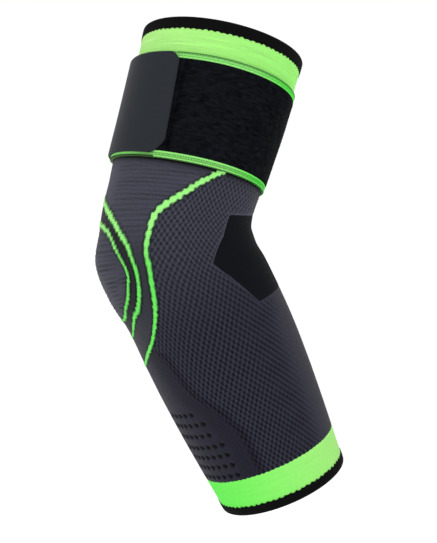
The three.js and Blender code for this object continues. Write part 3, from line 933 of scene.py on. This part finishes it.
def make_tab():
    """The hook tab, from its free end to its sewn one. It lies on the strap, and steps up onto the
    strap's own end."""
    middle = STRAP_BOTTOM + STRAP_WIDTH / 2
    degrees = 360 / (math.pi * (reach(ELBOW, middle) + reach(SIDE, middle)))
    strap_end = STRAP_START - STRAP_SWEEP + 360
    free = strap_end + (TAB_SEAM - TAB_LENGTH) * degrees
    high = STRAP_TOP - TAB_TOP_GAP
    # The columns lie closer together at the cut corners, and the rows at both sides
    distance = np.concatenate([np.linspace(0, 9, 41), np.linspace(9, TAB_LENGTH, 110)[1:]])[None, :]
    side = np.array([0, 0.15, 0.35, 0.7, 1.2])
    border = np.concatenate([side, np.linspace(2, TAB_WIDTH - 2, 63), TAB_WIDTH - side[::-1]])

    def cut(height, length):
        return height * np.interp(distance / length, np.linspace(0, 1, len(TAB_CORNER)), TAB_CORNER)

    upper, lower = high - cut(*TAB_TOP_CUT), high - TAB_WIDTH + cut(*TAB_LOW_CUT)
    share = (border / TAB_WIDTH)[:, None]
    station = upper + (lower - upper) * share
    slant = TAB_SLANT * share * (1 - distance / TAB_LENGTH)
    angle = free + (distance - slant) * degrees
    to_side = np.minimum(share, 1 - share) * TAB_WIDTH
    to_end = np.minimum(distance, TAB_LENGTH - distance)
    bevel = 0.5 * (1 - np.clip(np.minimum(to_side, to_end) / 0.9, 0, 1)) ** 2
    from_seam = TAB_LENGTH - distance
    stitched = STITCH_DEPTH * sum(np.exp(-(((from_seam - at) / 0.7) ** 2)) for at in TAB_STITCHES)
    step = strap_end - TAB_AHEAD * degrees
    lift = STRAP_CLEAR + LAYER * (1 + smoothstep(angle, step - TAB_STEP * degrees, step))
    outer = place(station, angle, lift + TAB_THICK - bevel - stitched)
    inner = place(station, angle, lift)
    flat = np.stack([distance + 0 * station, station], -1)
    piece = make_wall("tab_tape", outer, inner, False, [flat] * 2, smooth=40)
    # A painted highlight, lighter towards the tab's sewn end
    paint(piece, -TAB_HIGHLIGHT * smoothstep(distance, 22, 46) + 0 * station)
    return piece


def make_camera():
    data = bpy.data.cameras.new("camera")
    data.lens = LENS
    data.sensor_width = SENSOR
    camera = bpy.data.objects.new("camera", data)
    camera.location = [place / 1000 for place in CAMERA_PLACE]
    camera.rotation_euler = (math.pi / 2, 0, 0)
    bpy.context.scene.collection.objects.link(camera)
    bpy.context.scene.camera = camera


def make_light(name, location, size, power):
    """A square lamp that faces the brace, with its place and size in metres and its power in watts."""
    data = bpy.data.lights.new(name, "AREA")
    data.size = size
    data.energy = power
    lamp = bpy.data.objects.new(name, data)
    lamp.location = location
    lamp.rotation_mode = "QUATERNION"
    lamp.rotation_quaternion = (-Vector(location)).to_track_quat("-Z", "Y")
    bpy.context.scene.collection.objects.link(lamp)


def make_floor():
    """A pale floor, well below the held-up brace."""
    radius, level = 4.0, -0.42
    mesh = bpy.data.meshes.new("floor")
    corners = [(radius * x, radius * y, level) for x, y in ((-1, -1), (1, -1), (1, 1), (-1, 1))]
    mesh.from_pydata(corners, [], [(0, 1, 2, 3)])
    floor = bpy.data.objects.new("floor", mesh)
    bpy.context.scene.collection.objects.link(floor)
    material = bpy.data.materials.new("floor_white")
    material.use_nodes = True
    shader = next(n for n in material.node_tree.nodes if n.type == "BSDF_PRINCIPLED")
    shader.inputs["Base Color"].default_value = (0.8, 0.8, 0.8, 1)
    shader.inputs["Roughness"].default_value = 0.9
    shader.inputs["Specular IOR Level"].default_value = 0.0
    shader.inputs["Emission Color"].default_value = (1, 1, 1, 1)
    shader.inputs["Emission Strength"].default_value = 0.6
    mesh.materials.append(material)


def make_surround():
    """A white surround that is dimmer high up, so that the brace isn't lit flatly."""
    world = bpy.data.worlds.new("surround")
    bpy.context.scene.world = world
    world.use_nodes = True
    tree = world.node_tree
    background = next(n for n in tree.nodes if n.type == "BACKGROUND")
    coordinates = add_node(tree, "TexCoord")
    split = add_node(tree, "SeparateXYZ", {0: coordinates.outputs["Generated"]})
    levels = {"From Min": 0.25, "From Max": 0.7, "To Min": 1.02, "To Max": 0.4}
    levels["Value"] = split.outputs[2]
    ramp = add_node(tree, "MapRange", levels, interpolation_type="SMOOTHSTEP")
    tree.links.new(ramp.outputs[0], background.inputs["Strength"])
    background.inputs["Color"].default_value = (1, 1, 1, 1)


make_camera()
make_floor()
make_surround()
make_light("key", (-0.6, -0.8, 0.85), 0.7, 5.0)
make_light("fill", (0.9, -0.6, 0.3), 0.9, 1.6)
make_light("back", (0.3, 1.1, 0.6), 0.9, 2.5)
bpy.context.scene.view_settings.view_transform = "Standard"

knit_grey = cloth_material(
    "charcoal_knit", None, lambda tree: stitches(tree, 0.73, 0.77),
    roughness=0.85, sheen=0.1, relief_depth=0.07, specular=0.08,
)
knit_green = cloth_material(
    "green_knit", None, lambda tree: stitches(tree, 0.7, 0.52),
    roughness=0.85, sheen=0.1, relief_depth=0.06, weave_shade=0.12, mottle=0.06,
    sheen_tint=(1, 1, 0.8),
)
hem_black = cloth_material(
    "black_hem_knit", HEM_BLACK, lambda tree: stitches(tree, 0.7, 0.6),
    roughness=0.9, sheen=0.01, relief_depth=0.08, weave_shade=0.5, specular=0.04,
)
panel_black = cloth_material(
    "black_panel_knit", PANEL_BLACK, lambda tree: stitches(tree, 0.6, 0.45),
    roughness=0.8, sheen=0.006, relief_depth=0.04, weave_shade=0.3, mottle=0.15, specular=0.04,
)
strap_black = cloth_material(
    "black_loop_elastic", STRAP_BLACK, lambda tree: noise(tree, 2600, 4.0),
    roughness=0.95, sheen=0.008, relief_depth=0.12, weave_shade=0.8, mottle=0.5, mottle_scale=350,
    specular=0.04,
)
edge_green = cloth_material(
    "green_elastic_edge", None, lambda tree: cords(tree, cloth_axes(tree)[0], 0.85),
    roughness=0.8, sheen=0.02, relief_depth=0.06, weave_shade=0.25, mottle=0.12,
)
tab_grey = cloth_material(
    "charcoal_tape", TAB_GREY, lambda tree: noise(tree, 3000, 2.0),
    roughness=0.6, sheen=0.03, relief_depth=0.012, weave_shade=0.08, mottle=0.05, mottle_scale=200,
    specular=0.1,
)

body = dress(make_sleeve(), knit_grey, "sleeve_body")
upper_band = make_band(
    "green_band_top", UPPER_HEM_EDGE, UPPER_BAND_EDGE, UPPER_BAND_GREENS, 0.1, 0.06, UPPER_TEETH, (0, 0)
)
dress(upper_band, knit_green, "upper_band")
lower_band = make_band(
    "green_band_low", LOWER_BAND_EDGE, LOWER_HEM_EDGE, LOWER_BAND_GREENS, 0.03, 0.015,
    (BORDER_TEETH, -BORDER_TOOTH), LOWER_TEETH,
)
dress(lower_band, knit_green, "lower_band")
upper_hem = make_hem("hem_top", UPPER_HEM_EDGE, UPPER_LENGTH, *UPPER_TEETH)
dress(upper_hem, hem_black, "upper_hem")
lower_hem = make_hem("hem_low", LOWER_HEM_EDGE, -FOREARM_LENGTH, *LOWER_TEETH)
dress(lower_hem, hem_black, "lower_hem")
panel = dress(make_panel(), panel_black, "crease_panel")

webbing = make_strap_run(
    "loop_strap", STRAP_TOP - EDGE_WIDTH, STRAP_BOTTOM + EDGE_WIDTH, STRAP_THICK, 60, 1.0, brushed
)
dress(webbing, strap_black, "strap")
for name, node, top, profile in (
    ("strap_edge_top", "strap_upper_edge", STRAP_TOP, corded(0.17, 0.15)),
    ("strap_edge_low", "strap_lower_edge", STRAP_BOTTOM + EDGE_WIDTH, corded(1.02, 0.4)),
):
    edge = make_strap_run(name, top, top - EDGE_WIDTH, EDGE_THICK, 18, 0.5, profile)
    dress(edge, edge_green, node)
tab = dress(make_tab(), tab_grey, "hook_tab")
